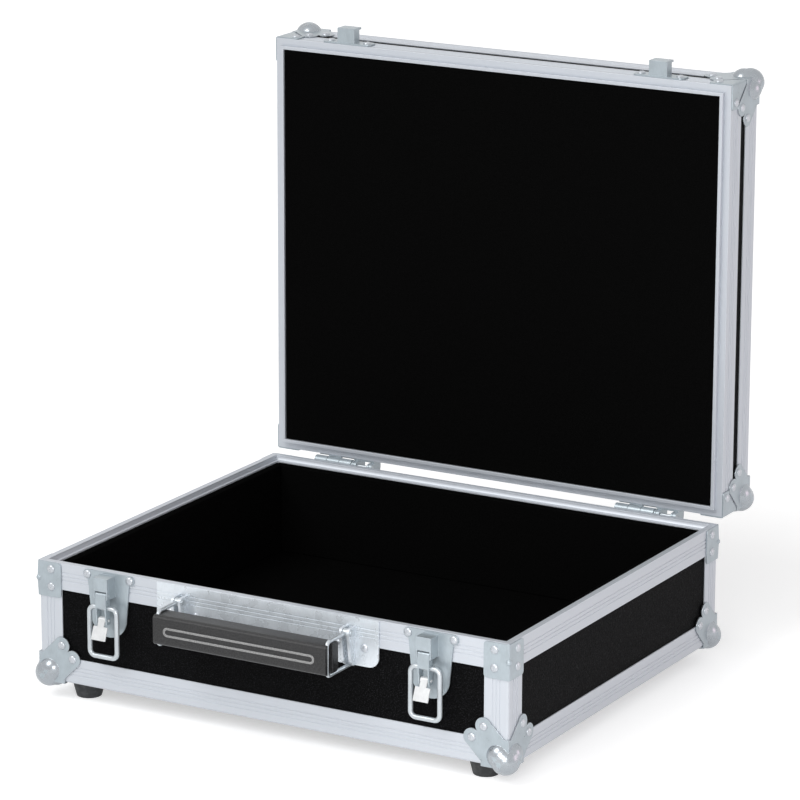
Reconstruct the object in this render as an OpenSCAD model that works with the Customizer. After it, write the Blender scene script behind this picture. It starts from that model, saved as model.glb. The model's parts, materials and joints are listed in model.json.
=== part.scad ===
// Flight case for guitar pedals: a hinged box of laminated plywood panels held in
// aluminium extrusions, with ball corners, two draw latches and a folding handle.
// All lengths are in millimetres. The lid is drawn open, standing on its hinge stops.

/* [Case] */
// Outside width of the case, from left to right
case_w = 440; // [400:1:560]
// Outside depth of the case, from front to back
case_d = 372; // [320:1:480]
// Height of the base, from its underside to its rim
base_h = 103; // [95:1:200]
// Depth of the lid, from its rim to its top
lid_h = 52; // [52:1:120]

/* [Panels and extrusions] */
// Thickness of the laminated panels
panel_t = 6.5; // [5:0.5:8]
// Thickness of the extrusions' outer skin
skin_t = 1.3; // [1:0.1:1.6]
// Width of each leg of the edge angles
edge_w = 22; // [18:1:24]
// Outer corner radius of the edge angles
edge_r = 2; // [1:0.1:3]
// Height of the base rim's outer face
base_rim_h = 23; // [20:0.5:30]
// Height of the lid rim's outer face
lid_rim_h = 20.5; // [18:0.5:24]
// Width of the base rim's raised lip
lip_w = 5.5; // [4:0.1:6.5]
// Drop from the lip to the step that takes the lid's tongue
step_h = 4; // [2.5:0.1:6]
// Thickness of the web above the base panels
web_t = 1.4; // [1:0.1:3]
// Thickness of the web above the lid panels
lid_web_t = 3; // [1:0.1:4]
// Thickness of the extrusions' inner flange
flange_t = 1.2; // [1:0.1:2]
// Height of the extrusions' inner flange
flange_h = 10; // [6:0.5:14]
// Width of the fine grooves in the rim faces
groove_w = 0.9; // [0.5:0.1:1.2]
// Depth of the fine grooves in the rim faces
groove_deep = 0.4; // [0.2:0.1:0.6]
// Distance from one groove to the next
groove_pitch = 3.3; // [2:0.1:3.5]
// Gap between the closed lid's rim and the base's rim
rim_gap = 0.4; // [0.3:0.1:1]
// Gap beside and below the tongue
tongue_fit = 0.5; // [0.5:0.1:0.8]

/* [Foam] */
// Thickness of the foam on the floor
floor_foam_t = 10; // [4:1:30]
// Thickness of the foam on the walls
wall_foam_t = 8; // [4:1:20]
// How far the wall foam's top lies below the step
wall_foam_drop = 1; // [0.5:0.5:10]
// How far the lid foam lies below the tongue's crest
lid_foam_drop = 1; // [0.5:0.5:20]
// Gap between the lid foam and the lid's inner flanges
foam_fit = 0.3; // [0.2:0.1:1]

/* [Ball corners and braces] */
// Radius of the domes of a ball corner
ball_r = 11; // [10:0.5:12]
// Depth of a dome's centre behind its own face
ball_sunk = 4; // [3:0.5:5]
// Distance of a dome's centre from the two edges of its face
ball_in = 9; // [8:0.5:10]
// Distance of the middle ball's centre from all three faces
ball_mid_in = 5; // [4:0.5:6]
// Sheet thickness of ball corners and braces
leaf_t = 1.2; // [0.8:0.1:1.5]
// Length of a leaf along the case's edges
leaf_edge = 24; // [20:1:28]
// Radius of the round lobes that carry the rivets
lobe_r = 7.5; // [5:0.5:8]
// Distance of a lobe's centre from the farther edge
lobe_far = 32; // [26:0.5:34]
// Distance of a lobe's centre from the nearer edge
lobe_near = 21.5; // [18:0.5:24]
// Width of a base brace on each face
brace_w = 22; // [16:1:30]
// Height of a base brace
brace_h = 30; // [20:1:36]
// Width of a lid brace on each face
lid_brace_w = 21; // [18:1:24]
// Height of a lid brace
lid_brace_h = 12; // [11:0.5:12]
// Height of a lid brace along the case's corner
lid_brace_rise = 26; // [18:0.5:26]
// How far a brace stays below the rim it stiffens
brace_drop = 0.3; // [0.2:0.1:2]

/* [Rivets] */
// Radius of the rivet heads
rivet_r = 3.2; // [2:0.1:4]
// Height of the rivet heads
rivet_h = 1.6; // [1:0.1:2]

/* [Feet] */
// Height of the rubber feet
foot_h = 16; // [12:1:30]
// Radius of a foot at its top
foot_top_r = 14.5; // [11:0.5:15]
// Radius of a foot at the floor
foot_r = 10.5; // [8:0.5:14]
// Distance of a foot's centre from the case's side
foot_in_x = 32; // [30:1:60]
// Distance of a foot's centre from the case's front or back
foot_in_y = 23; // [22:1:60]
// Radius of a foot screw's head
foot_screw_head_r = 4; // [3:0.5:5]
// Height of a foot screw's head
foot_screw_head_h = 3; // [2:0.5:4]
// Radius of a foot screw's shank
foot_screw_r = 2; // [1.5:0.1:2.5]
// Thickness of rubber between the screw's head and the case
foot_seat_t = 7; // [4:0.5:8]

/* [Hinges] */
// Gap between a hinge leaf and the ball corner beside it
hinge_gap = 1.5; // [0.5:0.5:60]
// Width of a hinge leaf
hinge_w = 58; // [54:1:64]
// Sheet thickness of a hinge leaf
hinge_t = 1.6; // [1.2:0.1:2]
// Distance of the hinge axis behind the case's back face
hinge_out = 5.6; // [5.2:0.1:7]
// Distance of the hinge axis below the base's rim
hinge_drop = 1.7; // [0.5:0.1:3]
// Radius of the rolled knuckles
knuckle_r = 4.6; // [4.4:0.1:4.8]
// Radius of the hinge pin
hinge_pin_r = 1.5; // [1:0.1:2]
// Length of the knuckles together
barrel_w = 37; // [30:1:37]
// Height of a hinge leaf
hinge_leaf_h = 32; // [28:1:36]
// Radius at which the stop rivets sit
stop_r = 10; // [9.5:0.1:10.5]
// Radius of a stop rivet's shank
stop_rivet_r = 2; // [1.5:0.1:2.2]

/* [Fits] */
// Radial clearance of a pin in the part that turns on it
pin_fit = 0.05; // [0.02:0.01:0.1]
// Gap between parts that move past each other
side_fit = 0.3; // [0.25:0.05:0.5]

/* [Latches] */
// Distance of each latch's middle from the case's side
latch_in = 69; // [55:1:69]
// Sheet thickness of the latch plate
latch_t = 1.5; // [1:0.1:2]
// Distance between the latch plate's two rivets
latch_rivets = 41; // [38:0.5:44]
// Depth of the latch plate's rivets below the rim
latch_rivet_drop = 4.6; // [4.6:0.1:9]
// Width of the housing that holds the lever
housing_w = 13.5; // [12.5:0.5:15]
// Depth of the housing's top below the rim
housing_top = 2.3; // [1:0.1:4]
// How far the housing stands out from the case
housing_out = 13.5; // [13.4:0.1:13.8]
// Depth of the lever's pivot below the rim
pivot_drop = 17; // [16.5:0.5:20]
// Distance of the lever's pivot in front of the case
pivot_out = 11; // [10.9:0.1:11.2]
// Radius of the lever's pivot pin
pivot_r = 1.2; // [1:0.1:1.3]
// Distance of the loop's bar below the lever's pivot
loop_below = 11.1; // [10.5:0.1:11.5]
// Distance of the loop's plane in front of the case
loop_out = 9.8; // [9.6:0.1:9.8]
// Outside width of the wire loop
loop_w = 30.5; // [28:0.5:34]
// Radius of the loop's wire
loop_r = 2.1; // [1.8:0.1:2.1]
// Radius of the loop's corners along the wire's middle
loop_bend = 5; // [4:0.5:6]
// Distance of the safety catch's pin below the lever's pivot
catch_below = 21.5; // [21:0.5:23]
// Distance of the safety catch's pin in front of the case
catch_out = 9.5; // [9.2:0.1:9.8]
// Length of the safety catch's tab below its pin
tab_len = 17.5; // [14:0.5:22]
// Width of the safety catch's tab
tab_w = 13.5; // [9:0.5:14]
// Angle at which the tab leans out
tab_lean = 22; // [10:1:30]

/* [Keepers] */
// Width of a keeper's block
keeper_w = 17; // [12:0.5:19]
// Height of a keeper's block above the lid's rim, to its catching face
keeper_top = 11.2; // [9:0.1:12]
// Height of the lip that holds the wire in place
keeper_lip = 3.3; // [2:0.1:4]
// Distance between a keeper's two rivets
keeper_rivets = 36; // [34:0.5:40]

/* [Handle] */
// Distance of the grip's front from the case
grip_out = 45; // [42:0.5:60]
// Length of the grip
grip_len = 161; // [110:1:170]
// Height of the grip
grip_h = 25; // [22:0.5:25]
// Thickness of the grip, from front to back
grip_t = 20; // [15:0.5:21]
// Depth of the grip's top below the rim
grip_drop = 13; // [12:0.5:13]
// Corner radius of the grip
grip_r = 3.5; // [2:0.5:6]
// Radius of the arms' wire
arm_r = 1.6; // [1.4:0.1:1.8]
// Radius of the arms' bends along the wire's middle
arm_bend = 4; // [3:0.5:6]
// Distance of the handle's pivot in front of the case
handle_pivot_out = 9; // [8.5:0.1:10]
// Radius of the handle's pivot pins
handle_pin_r = 1.5; // [1.2:0.1:1.8]
// Length of the handle plate
handle_plate_w = 208; // [206:1:216]
// Width of each of the plate's feet
handle_foot_w = 46; // [44:1:50]
// Height of the handle plate, feet included
handle_plate_h = 40; // [39.5:0.5:44]

/* [Hidden] */
$fn = 48;

half_w = case_w / 2;
half_d = case_d / 2;
panel_u = skin_t + panel_t;
inner_u = panel_u + flange_t;
web_low = step_h + web_t;
tongue_u = lip_w + tongue_fit;
tongue_h = step_h + rim_gap - tongue_fit;
mitre_u = edge_w + wall_foam_t;
foam_cut = 0.1;
ball_out = ball_r - ball_sunk;
ball_mid_r = ball_out + ball_mid_in;
lid_open = 90;
hinge_y = half_d + hinge_out;
hinge_z = base_h - hinge_drop;
lid_z = base_h + rim_gap;
lid_up = lid_z - hinge_z;
y_shift = (half_d + grip_out - hinge_y - lid_up - lid_h - ball_out) / 2;
big = 2 * case_w;

leaf_nick = 3;
lobe_turn = 60;
peg_r = 2.6;
brace_r = 3;
rivet_rho = (rivet_r * rivet_r + rivet_h * rivet_h) / (2 * rivet_h);
brace_rivet_in = 12.3;
brace_rivet_top = 6;
brace_rivet_low = 21;
lid_brace_rivet_in = 15;
lid_brace_rivet_up = 8;
lid_brace_flat = 5;
lid_brace_tip = 2;

screw_bite = 6;

hinge_x = half_w - lobe_far - lobe_r - hinge_gap - hinge_w / 2;
leaf_face = hinge_out - hinge_t;
ear_t = 1.6;
lid_ear_t = 3;
ear_x = [8.3, 24.2];
ear_edge = 1.3;
ear_disc = stop_r + stop_rivet_r + side_fit + ear_edge;
ear_flat = 3.5;
ear_clear = leaf_face - side_fit;
stop_angle = -93;
stop_head_r = 3;
stop_head_h = 1.2;
slot_r = stop_rivet_r + side_fit;
knuckle_w = (barrel_w - 2 * side_fit) / 3;
barrel_x = -hinge_w / 2;
hinge_rivet_x = 20;
hinge_rivet_near = 12;
hinge_rivet_far = 24;
hinge_leaf_r = 4;

latch_x = half_w - latch_in;
sheet_t = 1.3;
housing_high = pivot_drop - housing_top;
housing_deep = 3.3;
housing_gap = 0.9;
nose_r = housing_out - pivot_out;
front_low = nose_r + housing_gap;
lever_w = housing_w - 2 * sheet_t - 2 * side_fit;
lever_gap = lever_w - 2 * sheet_t;
web_end = loop_below;
cheek_past = 3.5;
cheek_end = catch_below + cheek_past;
cheek_waist = loop_below + loop_r + sheet_t;
cheek_back = 6.7;
knuckle_len = lever_gap - 2 * side_fit;
catch_knuckle_r = 2.75;
catch_pin_r = 1.2;
catch_pin_end = 0.6;
catch_pin_len = lever_w + 2 * catch_pin_end;
neck_len = 6;
neck_set = 0.5;
neck_w = knuckle_len - 2 * neck_set;
tab_set = 0.25;
loop_q = pivot_drop + loop_below;
loop_len = loop_q + rim_gap + keeper_top + side_fit + loop_r;
loop_half = loop_w / 2 - loop_r;
latch_ear_r = 4.2;
latch_waist = 18.2;
latch_cup_r = 17;
latch_cup_z = 39;

keeper_low = 2;
keeper_in = loop_out + loop_r + side_fit;
keeper_lip_t = 2;
keeper_out = keeper_in + keeper_lip_t;
keeper_plate_low = 1;
keeper_plate_h = 14;
keeper_end = 5.5;
keeper_r = 4;

handle_t = 1.5;
ear_wall = 2.3;
arm_set = 0.2;
arm_x = grip_len / 2 - arm_r - arm_set;
arm_z = grip_drop - arm_r;
arm_low = grip_drop + grip_h + arm_r;
arm_sunk = 6;
arm_front = grip_out - arm_sunk;
arm_end = handle_t + side_fit;
eye_wall = 1.9;
eye_lip = 0.3;
eye_r = handle_pin_r + eye_wall;
ear_head_r = 4;
eye_w = 2 * (arm_r + eye_lip);
ear_mid = (eye_w + ear_wall) / 2 + side_fit;
ear_out = eye_w / 2 + side_fit + ear_wall;
pin_head_r = 2.6;
pin_head_h = 1;
handle_band_h = base_rim_h;
handle_foot_r = 9;
handle_rivet_in = 67;
handle_rivet_out = 91;
handle_rivet_z = 24.5;
bead_w = 2;
bead_h = 0.8;
bead_len = 133;
bead_in_r = 2;
grip_front = grip_out - bead_h;

// Case frame: origin in the middle of the base's underside
module placed() {
    translate([0, y_shift, foot_h])
        children();
}

// Lid frame: height counted from the lid's rim, drawn closed and swung open
module on_lid() {
    placed()
        translate([0, hinge_y, hinge_z])
            rotate([-lid_open, 0, 0])
                translate([0, -hinge_y, lid_up])
                    children();
}

// Profile in depth and height, pulled along the width
module along_x(length) {
    rotate([90, 0, 90])
        linear_extrude(length, center = true)
            children();
}

// Bar along the width
module bar_x(r, length) {
    rotate([0, 90, 0])
        cylinder(r = r, h = length, center = true);
}

// One mitred side of a frame: 0 front, 1 right, 2 back, 3 left
module frame_side(k, cut = 0) {
    length = (k % 2 == 0 ? case_w : case_d) - 2 * cut;
    out = k % 2 == 0 ? half_d : half_w;
    rotate([0, 0, 90 * k])
        translate([0, -out, 0])
            intersection() {
                along_x(length)
                    children();
                linear_extrude(big, center = true)
                    polygon([[-length / 2, 0], [length / 2, 0],
                        [length / 2 - mitre_u, mitre_u], [mitre_u - length / 2, mitre_u]]);
            }
}

// The four upright corners, each seen from its own corner
module at_corners() {
    for (k = [0:3])
        translate([(k == 1 || k == 2 ? 1 : -1) * half_w, (k > 1 ? 1 : -1) * half_d, 0])
            rotate([0, 0, 90 * k])
                children();
}

// Angle section with a rounded outer corner and fine grooves in both legs
module angle_2d() {
    difference() {
        union() {
            translate([edge_r, edge_r])
                circle(edge_r);
            translate([edge_r, 0])
                square([edge_w - edge_r, edge_w]);
            translate([0, edge_r])
                square([edge_w, edge_w - edge_r]);
        }
        translate([skin_t, skin_t])
            square(edge_w);
        grooves_2d(edge_w / 2);
        mirror([1, -1])
            grooves_2d(edge_w / 2);
    }
}

// Three fine grooves around a height
module grooves_2d(middle) {
    for (i = [-1:1])
        translate([-groove_deep, middle + i * groove_pitch - groove_w / 2])
            square([2 * groove_deep, groove_w]);
}

module base_rim_2d() {
    difference() {
        union() {
            translate([0, -base_rim_h])
                square([skin_t, base_rim_h]);
            translate([0, -web_low])
                square([lip_w, web_low]);
            translate([0, -web_low])
                square([inner_u, web_t]);
            translate([panel_u, -step_h - flange_h])
                square([flange_t, flange_h]);
        }
        grooves_2d(-base_rim_h / 2);
    }
}

module lid_rim_2d() {
    difference() {
        union() {
            square([skin_t, lid_rim_h]);
            square([inner_u, lid_web_t]);
            translate([tongue_u, -tongue_h])
                square([inner_u - tongue_u, tongue_h + lid_web_t]);
            translate([panel_u, 0])
                square([flange_t, flange_h]);
        }
        grooves_2d(lid_rim_h / 2);
    }
}

// Rivet head standing up from its own foot
module rivet() {
    intersection() {
        translate([0, 0, rivet_h - rivet_rho])
            sphere(rivet_rho);
        cylinder(r = 2 * rivet_r, h = rivet_h);
    }
}

// Wire bend of a quarter turn, from along x to along -y
module bend(r, radius) {
    rotate_extrude(angle = 90)
        translate([radius, 0])
            circle(r);
}

// Walls and floor
module base_rim(k) {
    color("silver")
        placed()
            translate([0, 0, base_h])
                frame_side(k)
                    base_rim_2d();
}

module foot_holes(low, high) {
    for (sx = [-1, 1], sy = [-1, 1])
        translate([sx * (half_w - foot_in_x), sy * (half_d - foot_in_y), low])
            cylinder(r = foot_screw_r, h = high - low);
}

module base_edge(k) {
    color("silver")
        placed()
            difference() {
                frame_side(k)
                    angle_2d();
                foot_holes(-screw_bite, screw_bite);
            }
}

module panel(w, d, low, high) {
    translate([-w / 2, -d / 2, low])
        cube([w, d, high - low]);
}

module base_floor_panel() {
    color("black")
        placed()
            difference() {
                panel(case_w - 2 * skin_t, case_d - 2 * skin_t, skin_t, panel_u);
                foot_holes(-screw_bite, screw_bite);
            }
}

module wall_panel(k, low, high) {
    length = k % 2 == 0 ? case_w - 2 * skin_t : case_d - 2 * panel_u;
    out = k % 2 == 0 ? half_d : half_w;
    rotate([0, 0, 90 * k])
        translate([-length / 2, skin_t - out, low])
            cube([length, panel_t, high - low]);
}

module base_panel(k) {
    color("black")
        placed()
            wall_panel(k, panel_u, base_h - web_low);
}

module base_corner_posts() {
    color("silver")
        placed()
            translate([0, 0, edge_w])
                at_corners()
                    linear_extrude(base_h - base_rim_h - edge_w)
                        angle_2d();
}

// Leaf of a ball corner on one face
module leaf_2d() {
    across = lobe_far + lobe_r * cos(lobe_turn);
    down = lobe_near - lobe_r * sin(lobe_turn);
    polygon([[-leaf_t, -leaf_t], [leaf_edge, -leaf_t], [leaf_edge, leaf_nick],
        [across, down], [lobe_far, lobe_near], [lobe_near, lobe_far], [down, across],
        [leaf_nick, leaf_edge], [-leaf_t, leaf_edge]]);
    translate([lobe_far, lobe_near])
        circle(lobe_r);
    translate([lobe_near, lobe_far])
        circle(lobe_r);
}

// Short leaf that leaves room for a foot
module short_leaf_2d() {
    polygon([[-leaf_t, -leaf_t], [leaf_edge, -leaf_t], [leaf_edge, leaf_nick],
        [ball_in + leaf_nick, ball_in + leaf_nick], [leaf_nick, leaf_edge],
        [-leaf_t, leaf_edge]]);
}

// Ball corner seen from the corner it covers
module ball_corner(short) {
    difference() {
        union() {
            translate([ball_in, ball_in, ball_sunk])
                sphere(ball_r);
            translate([ball_in, ball_sunk, ball_in])
                sphere(ball_r);
            translate([ball_sunk, ball_in, ball_in])
                sphere(ball_r);
            translate([ball_mid_in, ball_mid_in, ball_mid_in])
                sphere(ball_mid_r);
        }
        cube(big);
    }
    translate([0, 0, -leaf_t])
        linear_extrude(leaf_t)
            if (short)
                short_leaf_2d();
            else
                leaf_2d();
    folded_sheet()
        leaf_2d();
}

module base_ball_corners() {
    color("lightgray")
        placed()
            at_corners()
                ball_corner(true);
}

// Face of a base brace, from the corner outwards and from the rim down
module brace_2d() {
    translate([-leaf_t, -brace_h])
        square([leaf_t + brace_w - brace_r, brace_h]);
    translate([0, brace_r - brace_h])
        square([brace_w, brace_h - 2 * brace_r]);
    translate([brace_w - brace_r, brace_r - brace_h])
        circle(brace_r);
    translate([brace_w - brace_r, -brace_r])
        circle(brace_r);
}

module folded_sheet() {
    rotate([90, 0, 0])
        linear_extrude(leaf_t)
            children();
    translate([-leaf_t, 0, 0])
        rotate([90, 0, 90])
            linear_extrude(leaf_t)
                children();
}

module base_corner_braces() {
    color("lightgray")
        placed()
            translate([0, 0, base_h - brace_drop])
                at_corners()
                    difference() {
                        union() {
                            folded_sheet()
                                brace_2d();
                            translate([0, 0, -brace_h / 2])
                                sphere(peg_r);
                        }
                        translate([0, 0, -big / 2])
                            cube(big);
                    }
}

module lid_brace_2d() {
    polygon([[-leaf_t, 0], [lid_brace_w, 0], [lid_brace_w, lid_brace_h],
        [lid_brace_w - lid_brace_flat, lid_brace_h], [lid_brace_tip, lid_brace_rise],
        [-leaf_t, lid_brace_rise]]);
}

// Rivets of one face of a ball corner
module leaf_rivets() {
    translate([lobe_far, lobe_near, leaf_t])
        rivet();
    translate([lobe_near, lobe_far, leaf_t])
        rivet();
}

// Rivets on both faces beside an upright corner
module both_faces() {
    rotate([90, 0, 0])
        children();
    mirror([1, -1, 0])
        rotate([90, 0, 0])
            children();
}

module base_rivets() {
    color("gainsboro")
        placed() {
            at_corners()
                both_faces()
                    leaf_rivets();
            translate([0, 0, base_h - brace_drop])
                at_corners()
                    both_faces() {
                        translate([brace_rivet_in, -brace_rivet_top, leaf_t])
                            rivet();
                        translate([brace_rivet_in, -brace_rivet_low, leaf_t])
                            rivet();
                    }
            for (s = [-1, 1], t = [-1, 1])
                translate([s * latch_x + t * latch_rivets / 2, -half_d - latch_t,
                    base_h - latch_rivet_drop])
                    rotate([90, 0, 0])
                        rivet();
            for (s = [-1, 1], x = [handle_rivet_in, handle_rivet_out])
                translate([s * x, -half_d - handle_t, base_h - handle_rivet_z])
                    rotate([90, 0, 0])
                        rivet();
            for (s = [-1, 1], t = [-1, 1], z = [hinge_rivet_near, hinge_rivet_far])
                translate([s * hinge_x + t * hinge_rivet_x, half_d + hinge_t, hinge_z - z])
                    rotate([-90, 0, 0])
                        rivet();
        }
}

// Feet
module rubber_feet() {
    color("dimgray")
        placed()
            for (sx = [-1, 1], sy = [-1, 1])
                translate([sx * (half_w - foot_in_x), sy * (half_d - foot_in_y), -foot_h])
                    difference() {
                        cylinder(r1 = foot_r, r2 = foot_top_r, h = foot_h);
                        translate([0, 0, -foot_seat_t])
                            cylinder(r = foot_screw_head_r, h = foot_h);
                        cylinder(r = foot_screw_r, h = 2 * foot_h);
                    }
}

module foot_screws() {
    color("silver")
        placed() {
            foot_holes(-foot_seat_t, screw_bite);
            for (sx = [-1, 1], sy = [-1, 1])
                translate([sx * (half_w - foot_in_x), sy * (half_d - foot_in_y),
                    -foot_seat_t - foot_screw_head_h])
                    cylinder(r = foot_screw_head_r, h = foot_screw_head_h);
        }
}

// Soft lining
module base_floor_foam() {
    color("black")
        placed()
            panel(case_w - 2 * panel_u, case_d - 2 * panel_u, panel_u, panel_u + floor_foam_t);
}

module base_wall_foam() {
    top = step_h + wall_foam_drop;
    flange_low = step_h + flange_h;
    depth = base_h - panel_u - floor_foam_t;
    color("black")
        placed()
            translate([0, 0, base_h])
                for (k = [0:3])
                    frame_side(k, foam_cut)
                        polygon([[panel_u, -depth], [inner_u + wall_foam_t, -depth],
                            [inner_u + wall_foam_t, -top], [inner_u, -top],
                            [inner_u, -flange_low], [panel_u, -flange_low]]);
}

module lid_foam() {
    inset = inner_u + foam_fit;
    color("black")
        on_lid()
            panel(case_w - 2 * inset, case_d - 2 * inset, lid_foam_drop - tongue_h,
                lid_h - panel_u);
}

// Lid shell
module lid_rim(k) {
    color("silver")
        on_lid()
            frame_side(k)
                lid_rim_2d();
}

module lid_edge(k) {
    color("silver")
        on_lid()
            translate([0, 0, lid_h])
                mirror([0, 0, 1])
                    frame_side(k)
                        angle_2d();
}

module lid_top_panel() {
    color("black")
        on_lid()
            panel(case_w - 2 * skin_t, case_d - 2 * skin_t, lid_h - panel_u, lid_h - skin_t);
}

module lid_panel(k) {
    color("black")
        on_lid()
            wall_panel(k, lid_web_t, lid_h - panel_u);
}

module lid_corner_posts() {
    color("silver")
        on_lid()
            translate([0, 0, lid_rim_h])
                at_corners()
                    linear_extrude(lid_h - lid_rim_h - edge_w)
                        angle_2d();
}

module lid_ball_corners() {
    color("lightgray")
        on_lid()
            translate([0, 0, lid_h])
                mirror([0, 0, 1])
                    at_corners()
                        ball_corner(false);
}

module lid_corner_braces() {
    color("lightgray")
        on_lid()
            translate([0, 0, brace_drop])
                at_corners()
                    difference() {
                        folded_sheet()
                            lid_brace_2d();
                        translate([0, 0, -big / 2])
                            cube(big);
                    }
}

module lid_rivets() {
    color("gainsboro")
        on_lid() {
            translate([0, 0, lid_h])
                mirror([0, 0, 1])
                    at_corners() {
                        both_faces()
                            leaf_rivets();
                        mirror([0, 0, 1])
                            leaf_rivets();
                    }
            at_corners()
                both_faces()
                    translate([lid_brace_rivet_in, lid_brace_rivet_up, leaf_t])
                        rivet();
            for (s = [-1, 1], t = [-1, 1])
                translate([s * latch_x + t * keeper_rivets / 2, -half_d - latch_t,
                    keeper_plate_low + keeper_plate_h / 2])
                    rotate([90, 0, 0])
                        rivet();
            for (s = [-1, 1], t = [-1, 1], z = [hinge_rivet_near, hinge_rivet_far])
                translate([s * hinge_x + t * hinge_rivet_x, half_d + hinge_t, z - lid_up])
                    rotate([-90, 0, 0])
                        rivet();
        }
}

module keepers() {
    color("lightgray")
        on_lid()
            for (s = [-1, 1])
                translate([s * latch_x, -half_d, 0]) {
                    rotate([90, 0, 0])
                        linear_extrude(latch_t)
                            rounded_2d(keeper_rivets + 2 * keeper_end, keeper_plate_low,
                                keeper_plate_low + keeper_plate_h, keeper_r);
                    along_x(keeper_w)
                        polygon([[0, keeper_low], [-keeper_out, keeper_low],
                            [-keeper_out, keeper_top + keeper_lip],
                            [-keeper_in, keeper_top + keeper_lip],
                            [-keeper_in, keeper_top], [0, keeper_top]]);
                }
}

// Rectangle with rounded corners, centred across, between two heights
module rounded_2d(w, low, high, r) {
    translate([-w / 2, low + r])
        square([w, high - low - 2 * r]);
    translate([r - w / 2, low])
        square([w - 2 * r, high - low]);
    for (x = [r - w / 2, w / 2 - r], y = [low + r, high - r])
        translate([x, y])
            circle(r);
}

// Hinges, seen from the hinge axis with the lid closed
module at_hinge(s) {
    translate([s * hinge_x, hinge_y, hinge_z])
        children();
}

module knuckle(i) {
    translate([barrel_x + i * (knuckle_w + side_fit) + knuckle_w / 2, 0, 0])
        children();
}

// Gap in a leaf beside the other leaf's knuckles
module leaf_gap(i) {
    gap_r = knuckle_r + side_fit;
    translate([barrel_x + i * (knuckle_w + side_fit) - side_fit, -hinge_out - hinge_t, -gap_r])
        cube([knuckle_w + 2 * side_fit, 3 * hinge_t, 2 * gap_r]);
}

// Disc of a stop ear, cut back to a hub where the other leaf swings past it
module ear(t) {
    rotate([90, 0, 90])
        linear_extrude(t)
            intersection() {
                circle(ear_disc);
                union() {
                    circle(ear_clear);
                    translate([0, -ear_flat])
                        square(ear_disc + ear_flat);
                    translate([-ear_clear, 0])
                        square(ear_disc);
                    translate([-hinge_out, lid_up])
                        square(ear_disc + hinge_out);
                }
            }
}

module hinge_base_leaf(s) {
    color("lightgray")
        placed()
            at_hinge(s)
                difference() {
                    union() {
                        difference() {
                            rotate([90, 0, 0])
                                translate([0, 0, leaf_face])
                                    linear_extrude(hinge_t)
                                        rounded_2d(hinge_w, -hinge_leaf_h, 0, hinge_leaf_r);
                            leaf_gap(1);
                        }
                        knuckle(0)
                            bar_x(knuckle_r, knuckle_w);
                        knuckle(2)
                            bar_x(knuckle_r, knuckle_w);
                        for (x = ear_x)
                            translate([x, 0, 0])
                                mirror([0, 0, 1])
                                    difference() {
                                        ear(ear_t);
                                        mirror([0, 0, 1])
                                            ear_slot();
                                    }
                    }
                    bar_x(hinge_pin_r, big);
                }
}

// Arc slot in which a stop rivet travels
module ear_slot() {
    rotate([90, 0, 90])
        linear_extrude(3 * ear_t, center = true) {
            difference() {
                circle(stop_r + slot_r);
                circle(stop_r - slot_r);
                rotate(stop_angle)
                    translate([-big, 0])
                        square(big);
                rotate(stop_angle)
                    translate([-big, -big])
                        square(big);
                rotate(stop_angle)
                    translate([0, -big])
                        square(big);
            }
            for (a = [stop_angle, stop_angle + lid_open])
                rotate(a)
                    translate([stop_r, 0])
                        circle(slot_r);
        }
}

module hinge_lid_leaf(s) {
    color("lightgray")
        on_lid()
            translate([0, 0, -lid_up - hinge_z])
                at_hinge(s)
                    difference() {
                        union() {
                            difference() {
                                rotate([90, 0, 0])
                                    translate([0, 0, leaf_face])
                                        linear_extrude(hinge_t)
                                            rounded_2d(hinge_w, lid_up, hinge_leaf_h,
                                                hinge_leaf_r);
                                leaf_gap(0);
                                leaf_gap(2);
                            }
                            knuckle(1) {
                                bar_x(knuckle_r, knuckle_w);
                                translate([-knuckle_w / 2, -hinge_out, 0])
                                    cube([knuckle_w, hinge_t, hinge_leaf_h / 2]);
                            }
                            for (x = ear_x)
                                translate([x + ear_t + side_fit, 0, 0])
                                    ear(lid_ear_t);
                        }
                        bar_x(hinge_pin_r + pin_fit, big);
                        for (x = ear_x)
                            translate([x, 0, 0])
                                stop_place()
                                    bar_x(stop_rivet_r, 4 * ear_t + 4 * lid_ear_t);
                    }
}

// Place of a stop rivet with the lid closed
module stop_place() {
    rotate([stop_angle + lid_open, 0, 0])
        translate([0, stop_r, 0])
            children();
}

module hinge_pins() {
    color("gray")
        placed()
            for (s = [-1, 1])
                at_hinge(s)
                    bar_x(hinge_pin_r, hinge_w);
}

module hinge_stop_rivets() {
    reach = ear_t + side_fit + lid_ear_t;
    color("gray")
        on_lid()
            translate([0, 0, -lid_up - hinge_z])
                for (s = [-1, 1], x = ear_x)
                    at_hinge(s)
                        translate([x, 0, 0])
                            stop_place() {
                                translate([(reach - side_fit) / 2, 0, 0])
                                    bar_x(stop_rivet_r, reach + side_fit);
                                translate([-side_fit - stop_head_h / 2, 0, 0])
                                    bar_x(stop_head_r, stop_head_h);
                            }
}

// Latches, seen from the base's rim on the front face
module at_latch(s) {
    placed()
        translate([s * latch_x, -half_d, base_h])
            children();
}

module at_pivot() {
    translate([0, -pivot_out, -pivot_drop])
        children();
}

module latch_2d() {
    for (s = [-1, 1])
        translate([s * latch_rivets / 2, -latch_rivet_drop])
            circle(latch_ear_r);
    translate([-latch_rivets / 2, -latch_rivet_drop - latch_ear_r])
        square([latch_rivets, 2 * latch_ear_r]);
    polygon([[-latch_rivets / 2, -latch_rivet_drop], [latch_rivets / 2, -latch_rivet_drop],
        [latch_waist, -loop_q], [latch_cup_r, -latch_cup_z],
        [-latch_cup_r, -latch_cup_z], [-latch_waist, -loop_q]]);
    translate([0, -latch_cup_z])
        circle(latch_cup_r);
}

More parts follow.
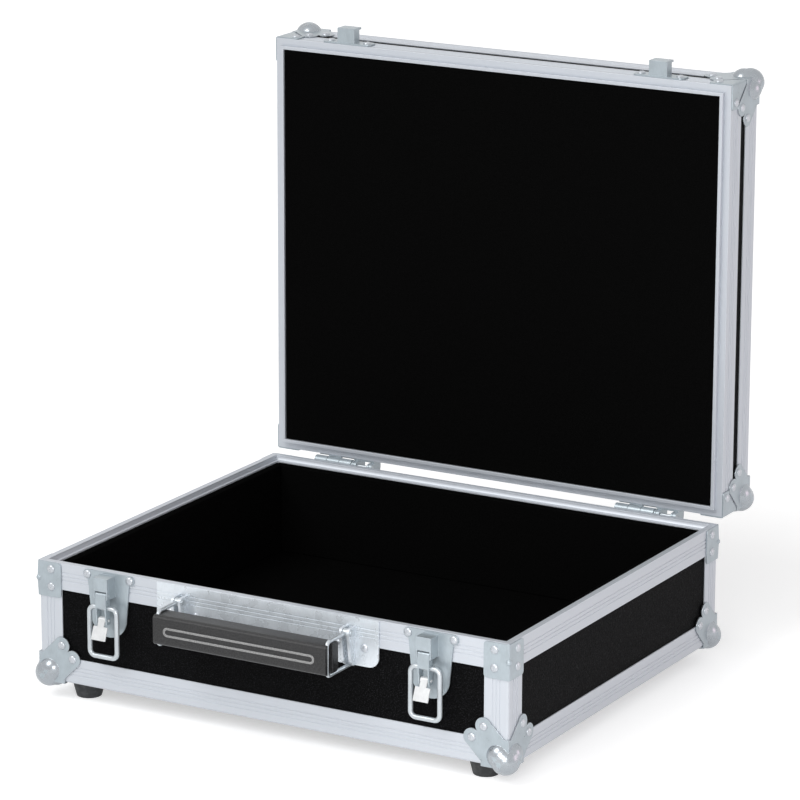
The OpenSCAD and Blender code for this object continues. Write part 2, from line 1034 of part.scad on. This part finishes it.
module latch_plate(s) {
    color("lightgray")
        at_latch(s)
            difference() {
                union() {
                    rotate([90, 0, 0])
                        linear_extrude(latch_t)
                            latch_2d();
                    at_pivot() {
                        for (t = [-1, 1])
                            translate([t * (housing_w - sheet_t) / 2, 0, 0])
                                along_x(sheet_t)
                                    polygon([[pivot_out - latch_t / 2, -housing_deep],
                                        [-nose_r, -housing_deep], [-nose_r, housing_high],
                                        [pivot_out - latch_t / 2, housing_high]]);
                        along_x(housing_w)
                            polygon([[-nose_r, front_low], [sheet_t - nose_r, front_low],
                                [sheet_t - nose_r, housing_high - sheet_t],
                                [pivot_out - latch_t / 2, housing_high - sheet_t],
                                [pivot_out - latch_t / 2, housing_high],
                                [-nose_r, housing_high]]);
                    }
                }
                at_pivot()
                    bar_x(pivot_r, big);
            }
}

module latch_pivot_pins() {
    color("gray")
        for (s = [-1, 1])
            at_latch(s)
                at_pivot()
                    bar_x(pivot_r, housing_w);
}

module latch_lever(s) {
    color("lightgray")
        at_latch(s)
            at_pivot()
                difference() {
                    union() {
                        bar_x(nose_r, lever_w);
                        translate([-lever_w / 2, -nose_r, -web_end])
                            cube([lever_w, sheet_t, web_end]);
                        for (t = [-1, 1])
                            translate([t * (lever_w - sheet_t) / 2, 0, 0])
                                along_x(sheet_t)
                                    polygon([[-nose_r, 0], [-nose_r, -cheek_waist],
                                        [sheet_t - nose_r, -cheek_end],
                                        [pivot_out - cheek_back, -cheek_end],
                                        [pivot_out - cheek_back, -loop_below],
                                        [nose_r, 0]]);
                    }
                    bar_x(pivot_r + pin_fit, big);
                    translate([0, pivot_out - loop_out, -loop_below])
                        bar_x(loop_r + pin_fit, big);
                    translate([0, pivot_out - catch_out, -catch_below])
                        bar_x(catch_pin_r + pin_fit, big);
                }
}

module latch_loop(s) {
    straight = loop_half - loop_bend;
    color("gainsboro")
        at_latch(s)
            translate([0, -loop_out, -loop_q]) {
                bar_x(loop_r, 2 * straight);
                translate([0, 0, -loop_len])
                    bar_x(loop_r, 2 * straight);
                for (t = [-1, 1])
                    translate([t * loop_half, 0, loop_bend - loop_len])
                        cylinder(r = loop_r, h = loop_len - 2 * loop_bend);
                for (k = [0:3])
                    translate([(k == 0 || k == 3 ? 1 : -1) * straight, 0,
                        k < 2 ? -loop_bend : loop_bend - loop_len])
                        rotate([90, 90 * -k, 0])
                            bend(loop_r, loop_bend);
            }
}

module safety_catch(s) {
    color("white")
        at_latch(s)
            translate([0, -catch_out, -pivot_drop - catch_below]) {
                bar_x(catch_knuckle_r, knuckle_len);
                bar_x(catch_pin_r, catch_pin_len);
                rotate([-tab_lean, 0, 0]) {
                    translate([-neck_w / 2, tab_set - catch_knuckle_r, -neck_len - sheet_t])
                        cube([neck_w, sheet_t, neck_len + sheet_t]);
                    translate([-tab_w / 2, tab_set - catch_knuckle_r, -tab_len])
                        cube([tab_w, sheet_t, tab_len - neck_len]);
                }
            }
}

// Handle, seen from the base's rim on the front face
module at_handle() {
    placed()
        translate([0, -half_d, base_h])
            children();
}

module handle_ear_2d() {
    translate([-handle_pivot_out, -arm_z])
        circle(ear_head_r);
    polygon([[-handle_t / 2, -arm_z + ear_head_r], [-handle_pivot_out, -arm_z + ear_head_r],
        [-handle_pivot_out - ear_head_r, -arm_z], [-handle_pivot_out, ear_head_r - arm_low],
        [ear_head_r - handle_pivot_out, -arm_low], [-handle_t / 2, -arm_low]]);
}

module handle_plate() {
    foot_x = handle_plate_w / 2 - handle_foot_w / 2;
    color("lightgray")
        at_handle()
            difference() {
                union() {
                    difference() {
                        rotate([90, 0, 0])
                            linear_extrude(handle_t) {
                                translate([-handle_plate_w / 2, -handle_band_h])
                                    square([handle_plate_w, handle_band_h - brace_drop]);
                                for (s = [-1, 1])
                                    translate([s * foot_x, 0])
                                        rounded_2d(handle_foot_w, -handle_plate_h,
                                            -handle_band_h / 2, handle_foot_r);
                            }
                        translate([0, -handle_t, 0])
                            along_x(big)
                                grooves_2d(-base_rim_h / 2);
                    }
                    for (s = [-1, 1], t = [-1, 1])
                        translate([s * arm_x + t * ear_mid, 0, 0])
                            along_x(ear_wall)
                                handle_ear_2d();
                }
                translate([0, -handle_pivot_out, -arm_z])
                    bar_x(handle_pin_r, big);
            }
}

module handle_pins() {
    color("gray")
        at_handle()
            for (s = [-1, 1])
                translate([s * arm_x, -handle_pivot_out, -arm_z]) {
                    bar_x(handle_pin_r, 2 * ear_out);
                    for (t = [-1, 1])
                        translate([t * (ear_out + pin_head_h / 2), 0, 0])
                            bar_x(pin_head_r, pin_head_h);
                }
}

module handle_arms() {
    top_len = arm_front - arm_bend - handle_pivot_out;
    low_len = arm_front - arm_bend - arm_end;
    color("gainsboro")
        at_handle()
            for (s = [-1, 1])
                translate([s * arm_x, 0, 0])
                    difference() {
                        union() {
                            translate([0, -handle_pivot_out, -arm_z]) {
                                bar_x(eye_r, eye_w);
                                rotate([90, 0, 0])
                                    cylinder(r = arm_r, h = top_len);
                            }
                            translate([0, -arm_end, -arm_low])
                                rotate([90, 0, 0])
                                    cylinder(r = arm_r, h = low_len);
                            translate([0, -arm_front, arm_bend - arm_low])
                                cylinder(r = arm_r, h = arm_low - arm_z - 2 * arm_bend);
                            translate([0, arm_bend - arm_front, -arm_z - arm_bend])
                                rotate([90, 0, 90])
                                    rotate([0, 0, 90])
                                        bend(arm_r, arm_bend);
                            translate([0, arm_bend - arm_front, arm_bend - arm_low])
                                rotate([90, 0, 90])
                                    rotate([0, 0, 180])
                                        bend(arm_r, arm_bend);
                        }
                        translate([0, -handle_pivot_out, -arm_z])
                            bar_x(handle_pin_r + pin_fit, 4 * arm_r);
                    }
}

// Elongated outline seen from the front
module ring_2d(r) {
    translate([-bead_len / 2, -r])
        square([bead_len, 2 * r]);
    for (s = [-1, 1])
        translate([s * bead_len / 2, 0])
            circle(r);
}

// Grip with a raised bead along its front
module handle_grip() {
    grip_mid = grip_drop + grip_h / 2;
    color("dimgray")
        at_handle() {
            difference() {
                along_x(grip_len)
                    translate([grip_t / 2 - grip_front, 0])
                        rounded_2d(grip_t, -grip_drop - grip_h, -grip_drop, grip_r);
                for (s = [-1, 1])
                    translate([s * arm_x + (s < 0 ? -2 * arm_r : -arm_r), -arm_front - arm_r,
                        -arm_low])
                        cube([3 * arm_r, 2 * arm_r + arm_bend, arm_low]);
            }
            translate([0, bead_h - grip_front, -grip_mid])
                rotate([90, 0, 0])
                    linear_extrude(2 * bead_h)
                        difference() {
                            ring_2d(bead_in_r + bead_w);
                            ring_2d(bead_in_r);
                        }
        }
}

base_floor_panel();
base_panel(0);  // base_front_panel
base_panel(1);  // base_right_panel
base_panel(2);  // base_back_panel
base_panel(3);  // base_left_panel
base_rim(0);  // base_rim_front
base_rim(1);  // base_rim_right
base_rim(2);  // base_rim_back
base_rim(3);  // base_rim_left
base_edge(0);  // base_edge_front
base_edge(1);  // base_edge_right
base_edge(2);  // base_edge_back
base_edge(3);  // base_edge_left
base_corner_posts();
base_ball_corners();
base_corner_braces();
base_rivets();
rubber_feet();
foot_screws();
base_floor_foam();
base_wall_foam();
lid_top_panel();
lid_panel(0);  // lid_front_panel
lid_panel(1);  // lid_right_panel
lid_panel(2);  // lid_back_panel
lid_panel(3);  // lid_left_panel
lid_rim(0);  // lid_rim_front
lid_rim(1);  // lid_rim_right
lid_rim(2);  // lid_rim_back
lid_rim(3);  // lid_rim_left
lid_edge(0);  // lid_edge_front
lid_edge(1);  // lid_edge_right
lid_edge(2);  // lid_edge_back
lid_edge(3);  // lid_edge_left
lid_corner_posts();
lid_ball_corners();
lid_corner_braces();
lid_rivets();
lid_foam();
keepers();
hinge_base_leaf(-1);  // left_hinge_base_leaf
hinge_base_leaf(1);  // right_hinge_base_leaf
hinge_lid_leaf(-1);  // left_hinge_lid_leaf
hinge_lid_leaf(1);  // right_hinge_lid_leaf
hinge_pins();
hinge_stop_rivets();
latch_plate(-1);  // left_latch_plate
latch_plate(1);  // right_latch_plate
latch_pivot_pins();
latch_lever(-1);  // left_latch_lever
latch_lever(1);  // right_latch_lever
latch_loop(-1);  // left_latch_loop
latch_loop(1);  // right_latch_loop
safety_catch(-1);  // left_safety_catch
safety_catch(1);  // right_safety_catch
handle_plate();
handle_pins();
handle_arms();
handle_grip();
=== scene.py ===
import json
import math

import bmesh
import bpy
from mathutils import Matrix, Vector
from mathutils.bvhtree import BVHTree

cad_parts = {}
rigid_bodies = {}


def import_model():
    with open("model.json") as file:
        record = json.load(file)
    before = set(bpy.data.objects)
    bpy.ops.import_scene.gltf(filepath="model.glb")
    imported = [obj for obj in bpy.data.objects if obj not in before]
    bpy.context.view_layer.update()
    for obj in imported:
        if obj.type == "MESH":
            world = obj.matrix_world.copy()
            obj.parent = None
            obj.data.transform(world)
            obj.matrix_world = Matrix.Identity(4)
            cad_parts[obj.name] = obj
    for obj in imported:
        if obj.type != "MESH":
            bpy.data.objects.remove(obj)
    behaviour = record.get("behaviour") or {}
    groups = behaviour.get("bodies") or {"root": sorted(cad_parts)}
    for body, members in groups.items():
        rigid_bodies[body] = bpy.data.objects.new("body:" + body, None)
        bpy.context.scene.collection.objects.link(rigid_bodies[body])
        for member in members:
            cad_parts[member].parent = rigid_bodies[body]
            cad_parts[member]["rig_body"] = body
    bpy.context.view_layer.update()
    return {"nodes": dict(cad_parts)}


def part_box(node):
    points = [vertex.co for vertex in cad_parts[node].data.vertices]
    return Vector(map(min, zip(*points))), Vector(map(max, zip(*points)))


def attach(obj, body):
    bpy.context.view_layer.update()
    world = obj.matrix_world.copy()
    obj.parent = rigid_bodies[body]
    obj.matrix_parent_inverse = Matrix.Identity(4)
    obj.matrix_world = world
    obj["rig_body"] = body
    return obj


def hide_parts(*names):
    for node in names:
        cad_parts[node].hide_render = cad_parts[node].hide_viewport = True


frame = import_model()
nodes = frame["nodes"]
scene = bpy.context.scene

# Camera. It stands to the right of the case and a little above it, far off with
# a long lens, as the photograph was taken.
def looking(place, direction):
    """The placing of a camera or lamp that looks along a direction."""
    return Matrix.Translation(place) @ direction.to_track_quat("-Z", "Y").to_matrix().to_4x4()


eye = Vector((1.6953, -2.95355, 1.1605))
sight = Vector((-0.47847, 0.83835, -0.26123))
roll = math.radians(0.145)
lens = bpy.data.cameras.new("camera")
lens.lens = 191.1
lens.sensor_width = 36.0
lens.clip_end = 50.0
camera = bpy.data.objects.new("camera", lens)
camera.matrix_world = looking(eye, sight) @ Matrix.Rotation(roll, 4, "Z")
scene.collection.objects.link(camera)
scene.camera = camera

# Panels. Plywood boards faced with a black laminate that has a fine hammered
# grain and grey flecks. They slide into the channels of the extrusions.
class Value:
    """A shader socket that can stand in a Python expression."""

    def __init__(self, shading, socket):
        self.shading = shading
        self.socket = socket

    def math(self, operation, *values):
        return self.shading.node("ShaderNodeMath", {"operation": operation},
                                 dict(enumerate(values)))

    def __add__(self, other):
        return self.math("ADD", self, other)

    __radd__ = __add__

    def __mul__(self, other):
        return self.math("MULTIPLY", self, other)

    __rmul__ = __mul__

    def highest(self, other):
        return self.math("MAXIMUM", self, other)

    def clamped(self, low, high):
        """0 below low, 1 above high, and a smooth ramp between them."""
        return self.shading.node("ShaderNodeMapRange", {"interpolation_type": "SMOOTHSTEP"},
                                 {"Value": self, "From Min": low, "From Max": high})


class Shading:
    """A node tree whose sockets take numbers, colours and values alike."""

    def __init__(self, tree):
        self.tree = tree

    def plug(self, socket, value):
        if isinstance(value, Value):
            self.tree.links.new(value.socket, socket)
        else:
            socket.default_value = value

    def node(self, kind, settings=None, values=None, output=0):
        """A new node, set first and then filled, as the value of one output."""
        made = self.tree.nodes.new(kind)
        for key, value in (settings or {}).items():
            setattr(made, key, value)
        for key, value in (values or {}).items():
            self.plug(made.inputs[key], value)
        return Value(self, made.outputs[output])


class Finish(Shading):
    """One procedural material on the Principled shader."""

    def __init__(self, name, color, roughness, metallic=0.0, specular=0.5):
        self.material = bpy.data.materials.new(name)
        self.material.use_nodes = True
        self.material.diffuse_color = (*color, 1.0)
        super().__init__(self.material.node_tree)
        self.set("Base Color", (*color, 1.0))
        self.set("Roughness", roughness)
        self.set("Metallic", metallic)
        self.set("Specular IOR Level", specular)

    def set(self, key, value):
        self.plug(self.tree.nodes["Principled BSDF"].inputs[key], value)

    def noise(self, scale, stretch=(1.0, 1.0, 1.0), detail=3.0, roughness=0.5):
        """Noise on the piece's own coordinates, in metres, stretched by axis."""
        place = self.node("ShaderNodeTexCoord", output="Object")
        place = self.node("ShaderNodeMapping", values={"Vector": place, "Scale": stretch})
        return self.node("ShaderNodeTexNoise", values={
            "Vector": place, "Scale": scale, "Detail": detail, "Roughness": roughness})

    def mix(self, factor, first, second):
        """A colour between two, by a factor from 0 to 1."""
        factor_socket, first_socket, second_socket, color_output = 0, 6, 7, 2
        return self.node("ShaderNodeMix", {"data_type": "RGBA"},
                         {factor_socket: factor, first_socket: (*first, 1.0),
                          second_socket: (*second, 1.0)}, output=color_output)

    def bump(self, height, distance, strength):
        self.set("Normal", self.node("ShaderNodeBump", values={
            "Height": height, "Distance": distance, "Strength": strength}))


def paint(piece, *finishes):
    """The first finish covers the piece, and its faces may choose the others."""
    piece.data.materials.clear()
    for finish in finishes:
        piece.data.materials.append(finish.material)


laminate_black = (0.0018, 0.0018, 0.0020)
fleck_grey = (0.024, 0.024, 0.026)
laminate = Finish("black_laminate", (0.005, 0.005, 0.005), roughness=0.6, specular=0.03)
fleck = laminate.noise(scale=1100.0, detail=2.0, roughness=0.6)
grain = laminate.noise(scale=420.0, detail=4.0, roughness=0.6)
laminate.set("Base Color", laminate.mix(fleck.clamped(0.52, 0.72), laminate_black, fleck_grey))
laminate.set("Roughness", 0.45 + grain * 0.3)
laminate.bump(grain + fleck * 0.5, distance=0.0005, strength=0.7)
for name, piece in nodes.items():
    if name.endswith("_panel"):
        paint(piece, laminate)

# Extrusions. Anodised aluminium, drawn through a die, so the faint streaks and
# the grooves run along each length. Cut at 45 degrees and riveted at the corners.
def anodised(axis):
    """The aluminium finish with its drawing streaks along one axis."""
    streak_stretch = 0.0015
    along = tuple(streak_stretch if i == axis else 1.0 for i in range(3))
    finish = Finish("anodised_" + "xyz"[axis], (0.59, 0.62, 0.67), roughness=0.40, metallic=0.25)
    streaks = finish.noise(scale=1600.0, stretch=along, detail=1.0)
    cloud = finish.noise(scale=14.0, detail=2.0)
    dark, light = (0.57, 0.60, 0.65), (0.60, 0.635, 0.685)
    finish.set("Base Color", finish.mix(streaks * 0.5 + cloud * 0.5, dark, light))
    finish.set("Roughness", 0.38 + cloud * 0.06)
    return finish


same_point = 2e-6


def clean_mesh(name):
    """A CAD node's mesh with its points merged."""
    shape = bmesh.new()
    shape.from_mesh(nodes[name].data)
    bmesh.ops.remove_doubles(shape, verts=shape.verts, dist=same_point)
    return shape


def turning(edge, angle):
    """Whether an edge's two faces turn by more than an angle."""
    return len(edge.link_faces) == 2 and edge.calc_face_angle(0.0) > angle


def round_off(shape, edges, radius, segments):
    """The edges rounded to a radius."""
    bmesh.ops.bevel(shape, geom=edges, offset=radius, offset_type="OFFSET", segments=segments,
                    profile=0.5, affect="EDGES", clamp_overlap=False, material=-1)


def smooth_copy(name, rounding=0.0, fold=0.0, lip=0.0):
    """A copy of a CAD node with its edges rounded a little, which stands for it.

    A fold is the larger radius of the edges between two broad faces, which reach
    several folds away from them. A lip is the radius of an extrusion's long edges,
    whose cut ends stay sharp. Points that the rounding lifts off the node's own skin,
    or sends too far from it, go back onto it.
    """
    flat_turn = math.radians(0.6)
    edge_turn = math.radians(25.0)
    fold_turn = math.radians(80.0)
    broad_folds = 4.0
    long_edge = 0.05
    above_skin = 2e-5
    shape = clean_mesh(name)
    bmesh.ops.dissolve_limit(shape, angle_limit=flat_turn, verts=shape.verts,
                             edges=shape.edges, delimit={"NORMAL"})
    shape.normal_update()
    skin = BVHTree.FromBMesh(shape)
    if fold:
        broad = [e for e in shape.edges if turning(e, fold_turn) and e.is_convex
                 and min(f.calc_area() for f in e.link_faces) > broad_folds * fold * e.calc_length()]
        round_off(shape, broad, fold, segments=5)
    edges = [e for e in shape.edges if turning(e, edge_turn)]
    if lip:
        edges = [e for e in edges if e.is_convex and e.calc_length() > long_edge]
        round_off(shape, edges, lip, segments=3)
    else:
        round_off(shape, edges, rounding, segments=2)
    for vert in shape.verts:
        near, normal, _, gap = skin.find_nearest(vert.co)
        if gap > max(rounding, fold, lip) or (vert.co - near).dot(normal) > above_skin:
            vert.co = near
    return as_piece(name + "_dressed", shape, name)


def as_piece(title, shape, name):
    """The mesh as a smooth piece that rides with a CAD node's body and replaces the node."""
    sharp_turn = math.radians(32.0)
    for face in shape.faces:
        face.smooth = True
    mesh = bpy.data.meshes.new(title)
    shape.to_mesh(mesh)
    shape.free()
    mesh.set_sharp_from_angle(angle=sharp_turn)
    piece = bpy.data.objects.new(title, mesh)
    scene.collection.objects.link(piece)
    piece.modifiers.new("flat_faces", "WEIGHTED_NORMAL").keep_sharp = True
    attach(piece, nodes[name]["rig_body"])
    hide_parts(name)
    return piece


extrusion_lip = 0.00035
drawn = [anodised(axis) for axis in range(3)]
for name in list(nodes):
    if name.endswith("corner_posts"):
        axis = 2 if name.startswith("base") else 1
    elif "_rim_" in name or "_edge_" in name:
        low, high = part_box(name)
        size = list(high - low)
        axis = size.index(max(size))
    else:
        continue
    piece = smooth_copy(name, lip=extrusion_lip)
    paint(piece, drawn[axis])

# Pressed steel. Ball corners, braces, hinges, latches and the handle's plate are
# zinc plated sheet, a little bluer and darker than the extrusions. The balls of
# the corners are polished.
def zinc(name, color, roughness, metallic):
    """Zinc plate: clouded, with fine polishing marks along the height."""
    finish = Finish(name, color, roughness, metallic)
    cloud = finish.noise(scale=90.0, detail=4.0)
    marks = finish.noise(scale=900.0, stretch=(1.0, 1.0, 0.25), detail=2.0)
    deep = tuple(0.86 * part for part in color)
    tone = (cloud * 0.7 + marks * 0.3).clamped(0.3, 0.7)
    finish.set("Base Color", finish.mix(tone, deep, color))
    finish.set("Roughness", roughness - 0.06 + cloud * 0.12)
    finish.bump(marks, distance=0.00003, strength=0.4)
    return finish


fine_edge = 0.00012
pressed_edge = 0.0003
brace_fold = 0.002
flat_leaf = 0.985
plate = zinc("zinc_plate", (0.43, 0.49, 0.53), roughness=0.30, metallic=0.35)
sheet = zinc("smooth_sheet", (0.72, 0.77, 0.82), roughness=0.28, metallic=0.35)
polished = zinc("polished_plate", (0.40, 0.43, 0.46), roughness=0.27, metallic=0.8)
for name in list(nodes):
    if name.endswith(("_leaf", "latch_lever", "handle_plate")):
        piece = smooth_copy(name, fine_edge)
        paint(piece, sheet if name == "handle_plate" else plate)
    elif name.endswith(("latch_plate", "keepers")):
        piece = smooth_copy(name, pressed_edge)
        paint(piece, plate)
    elif name.endswith("corner_braces"):
        piece = smooth_copy(name, pressed_edge, fold=brace_fold)
        paint(piece, plate)
    elif name.endswith("ball_corners"):
        piece = smooth_copy(name, pressed_edge)
        paint(piece, plate, polished)
        for face in piece.data.polygons:
            face.material_index = int(max(abs(part) for part in face.normal) < flat_leaf)
    else:
        continue

# Bright parts. The latches' loops and the handle's arms are bent wire, and the
# safety catches are bright pressed tabs. The pins and screws are plated alike.
bright_edge = 0.00015
bright = zinc("bright_zinc", (0.56, 0.60, 0.63), roughness=0.32, metallic=0.6)
tab_zinc = zinc("tab_zinc", (0.74, 0.75, 0.76), roughness=0.35, metallic=0.2)
for name in list(nodes):
    if name.endswith("safety_catch"):
        finish, slot = tab_zinc, "bright_tab"
    elif name.endswith(("_loop", "handle_arms")):
        finish, slot = bright, "plated_wire"
    elif name.endswith(("_pins", "stop_rivets", "screws")):
        finish, slot = bright, "plated_steel"
    else:
        continue
    piece = smooth_copy(name, bright_edge)
    paint(piece, finish)

# Rivets. Domed steel heads with the small pit that the broken mandrel leaves.
# They hold the braces, ball corners, hinges, latches, handle and keepers.
def rivet_places(name):
    """The foot and the direction of each rivet head of a CAD node.

    The largest face of a rivet's solid is its flat foot, which looks inwards.
    """
    shape = clean_mesh(name)
    found = set()
    places = []
    for start in shape.verts:
        if start in found:
            continue
        found.add(start)
        rivet = [start]
        for vert in rivet:
            for link in vert.link_edges:
                other = link.other_vert(vert)
                if other not in found:
                    found.add(other)
                    rivet.append(other)
        faces = [face for vert in rivet for face in vert.link_faces]
        inward = max(faces, key=lambda face: face.calc_area()).normal.copy()
        points = [vert.co for vert in rivet]
        centre = sum(points, Vector()) / len(points)
        depth = max(point.dot(inward) for point in points) - centre.dot(inward)
        places.append((centre + inward * depth, -inward))
    shape.free()
    return places


def rivet_heads(name, radius, height):
    """All the rivet heads of a node, each spun from half of its outline."""
    spin_steps = 20
    pit = 0.16 * radius
    outline = [(0.0, 0.8 * height), (0.7 * pit, 0.8 * height), (pit, 0.96 * height),
               (1.7 * pit, height), (0.62 * radius, 0.86 * height), (0.85 * radius, 0.58 * height),
               (0.97 * radius, 0.26 * height), (radius, 0.0), (0.0, 0.0)]
    shape = bmesh.new()
    for foot, out in rivet_places(name):
        verts = [shape.verts.new((x, 0.0, z)) for x, z in outline]
        edges = [shape.edges.new(pair) for pair in zip(verts, verts[1:])]
        bmesh.ops.spin(shape, geom=verts + edges, axis=(0, 0, 1), cent=(0, 0, 0),
                       angle=math.tau, steps=spin_steps, use_merge=True)
        head = [vert for vert in shape.verts if not vert.tag]
        turn = Vector((0, 0, 1)).rotation_difference(out).to_matrix().to_4x4()
        bmesh.ops.transform(shape, matrix=Matrix.Translation(foot) @ turn, verts=head)
        for vert in head:
            vert.tag = True
    bmesh.ops.remove_doubles(shape, verts=shape.verts, dist=same_point)
    bmesh.ops.recalc_face_normals(shape, faces=shape.faces)
    return as_piece(name + "_heads", shape, name)


head_radius = 0.0036
head_height = 0.0016
rivet_zinc = zinc("rivet_zinc", (0.56, 0.59, 0.63), roughness=0.28, metallic=0.5)
for name in ("base_rivets", "lid_rivets"):
    piece = rivet_heads(name, head_radius, head_height)
    paint(piece, rivet_zinc)

# Feet. Moulded rubber cones under the base's corners, a little dusty, each held
# by a screw in a deep hole.
foot_edge = 0.0006
rubber_black = (0.032, 0.034, 0.036)
dust_grey = (0.065, 0.068, 0.070)
rubber = Finish("foot_rubber", (0.045, 0.048, 0.05), roughness=0.6, specular=0.35)
dust = rubber.noise(scale=300.0, detail=3.0)
rubber.set("Base Color", rubber.mix(dust.clamped(0.4, 0.8), rubber_black, dust_grey))
rubber.bump(dust, distance=0.0002, strength=0.4)
piece = smooth_copy("rubber_feet", foot_edge)
paint(piece, rubber)

# Grip. Moulded black plastic with a fine texture, held between the bent wire
# arms. Its raised bead is painted a lighter grey, a painted highlight along it.
def moulded(name, dark, light, roughness):
    """Grained black plastic."""
    finish = Finish(name, dark, roughness, specular=0.36)
    pores = finish.noise(scale=1100.0, detail=2.0)
    finish.set("Base Color", finish.mix(pores.clamped(0.35, 0.7), dark, light))
    finish.set("Roughness", roughness + pores * 0.2)
    finish.bump(pores, distance=0.00025, strength=0.7)
    return finish


grip_edge = 0.0004
bead_skin = 0.0003
grip_plastic = moulded("grip_plastic", (0.013, 0.013, 0.014), (0.038, 0.038, 0.039), 0.26)
# The bead's finish: a lighter grey that is a painted highlight along the raised bead.
painted_bead_highlight = moulded("painted_bead_highlight", (0.20, 0.20, 0.20), (0.36, 0.36, 0.36), 0.2)
piece = smooth_copy("handle_grip", grip_edge)
paint(piece, grip_plastic, painted_bead_highlight)
# The grip's front-most faces, the bead's crest, take the painted highlight finish.
bead_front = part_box("handle_grip")[0].y
for face in piece.data.polygons:
    face.material_index = int(face.center.y < bead_front + bead_skin)

# Foam. Soft black lining, cut from sheet and glued to the base's floor and walls
# and into the lid.
foam_edge = 0.0012
cell_black = (0.0015, 0.0015, 0.0015)
wall_black = (0.005, 0.005, 0.005)
foam = Finish("black_foam", (0.003, 0.003, 0.003), roughness=0.95, specular=0.0)
cells = foam.noise(scale=1100.0, detail=3.0)
foam.set("Base Color", foam.mix(cells.clamped(0.3, 0.7), cell_black, wall_black))
foam.bump(cells, distance=0.0005, strength=0.6)
for name in ("base_floor_foam", "base_wall_foam", "lid_foam"):
    piece = smooth_copy(name, foam_edge)
    paint(piece, foam)

# Studio. A white floor and surround, a broad sun from the front left and above,
# so the right side of the case is in mild shade, and two soft fills.
def seen_directly(shading):
    """1 on rays of the camera, of a reflection or through glass, 0 on the others."""
    kinds = ("Is Camera Ray", "Is Glossy Ray", "Is Transmission Ray")
    camera_ray, glossy_ray, glass_ray = [shading.node("ShaderNodeLightPath", output=kind)
                                         for kind in kinds]
    return camera_ray.highest(glossy_ray).highest(glass_ray)


ground = bmesh.new()
bmesh.ops.create_grid(ground, x_segments=1, y_segments=1, size=7.0)
mesh = bpy.data.meshes.new("floor")
ground.to_mesh(mesh)
ground.free()
floor = bpy.data.objects.new("floor", mesh)
scene.collection.objects.link(floor)
no_glow = (0.0, 0.0, 0.0)
half_glow = (0.5, 0.5, 0.5)
pale = Finish("pale_floor", (0.8, 0.8, 0.8), roughness=0.9)
pale.set("Emission Color", pale.mix(seen_directly(pale), no_glow, half_glow))
pale.set("Emission Strength", 1.0)
paint(floor, pale)

surround_light = 0.47
surround_seen = 1.0
world = bpy.data.worlds.new("surround")
scene.world = world
world.use_nodes = True
sky = Shading(world.node_tree)
strength = sky.node("ShaderNodeMapRange", values={
    "Value": seen_directly(sky), "To Min": surround_light, "To Max": surround_seen})
background = world.node_tree.nodes["Background"]
sky.plug(background.inputs["Strength"], strength)
sky.plug(background.inputs["Color"], (1.0, 1.0, 1.0, 1.0))


def lamp(name, place, aim, size, power, tint=(1.0, 1.0, 1.0)):
    """A square soft light that looks at a point."""
    light = bpy.data.lights.new(name, "AREA")
    light.size = size
    light.energy = power
    light.color = tint
    item = bpy.data.objects.new(name, light)
    item.visible_camera = False
    item.matrix_world = looking(place, Vector(aim) - Vector(place))
    scene.collection.objects.link(item)


sun = bpy.data.lights.new("main", "SUN")
sun.energy = 1.15
sun.angle = math.radians(30.0)
item = bpy.data.objects.new("main", sun)
item.matrix_world = looking(Vector(), Vector((0.35, 0.75, -0.95)))
scene.collection.objects.link(item)
lamp("front_fill", (0.5, -1.0, 0.42), (0.2, -0.2, 0.1), size=0.4, power=4.0)
lamp("side_fill", (1.9, 0.6, 0.5), (0.2, 0.0, 0.2), size=0.8, power=3.0, tint=(1.0, 0.72, 0.80))
scene.view_settings.view_transform = "Standard"
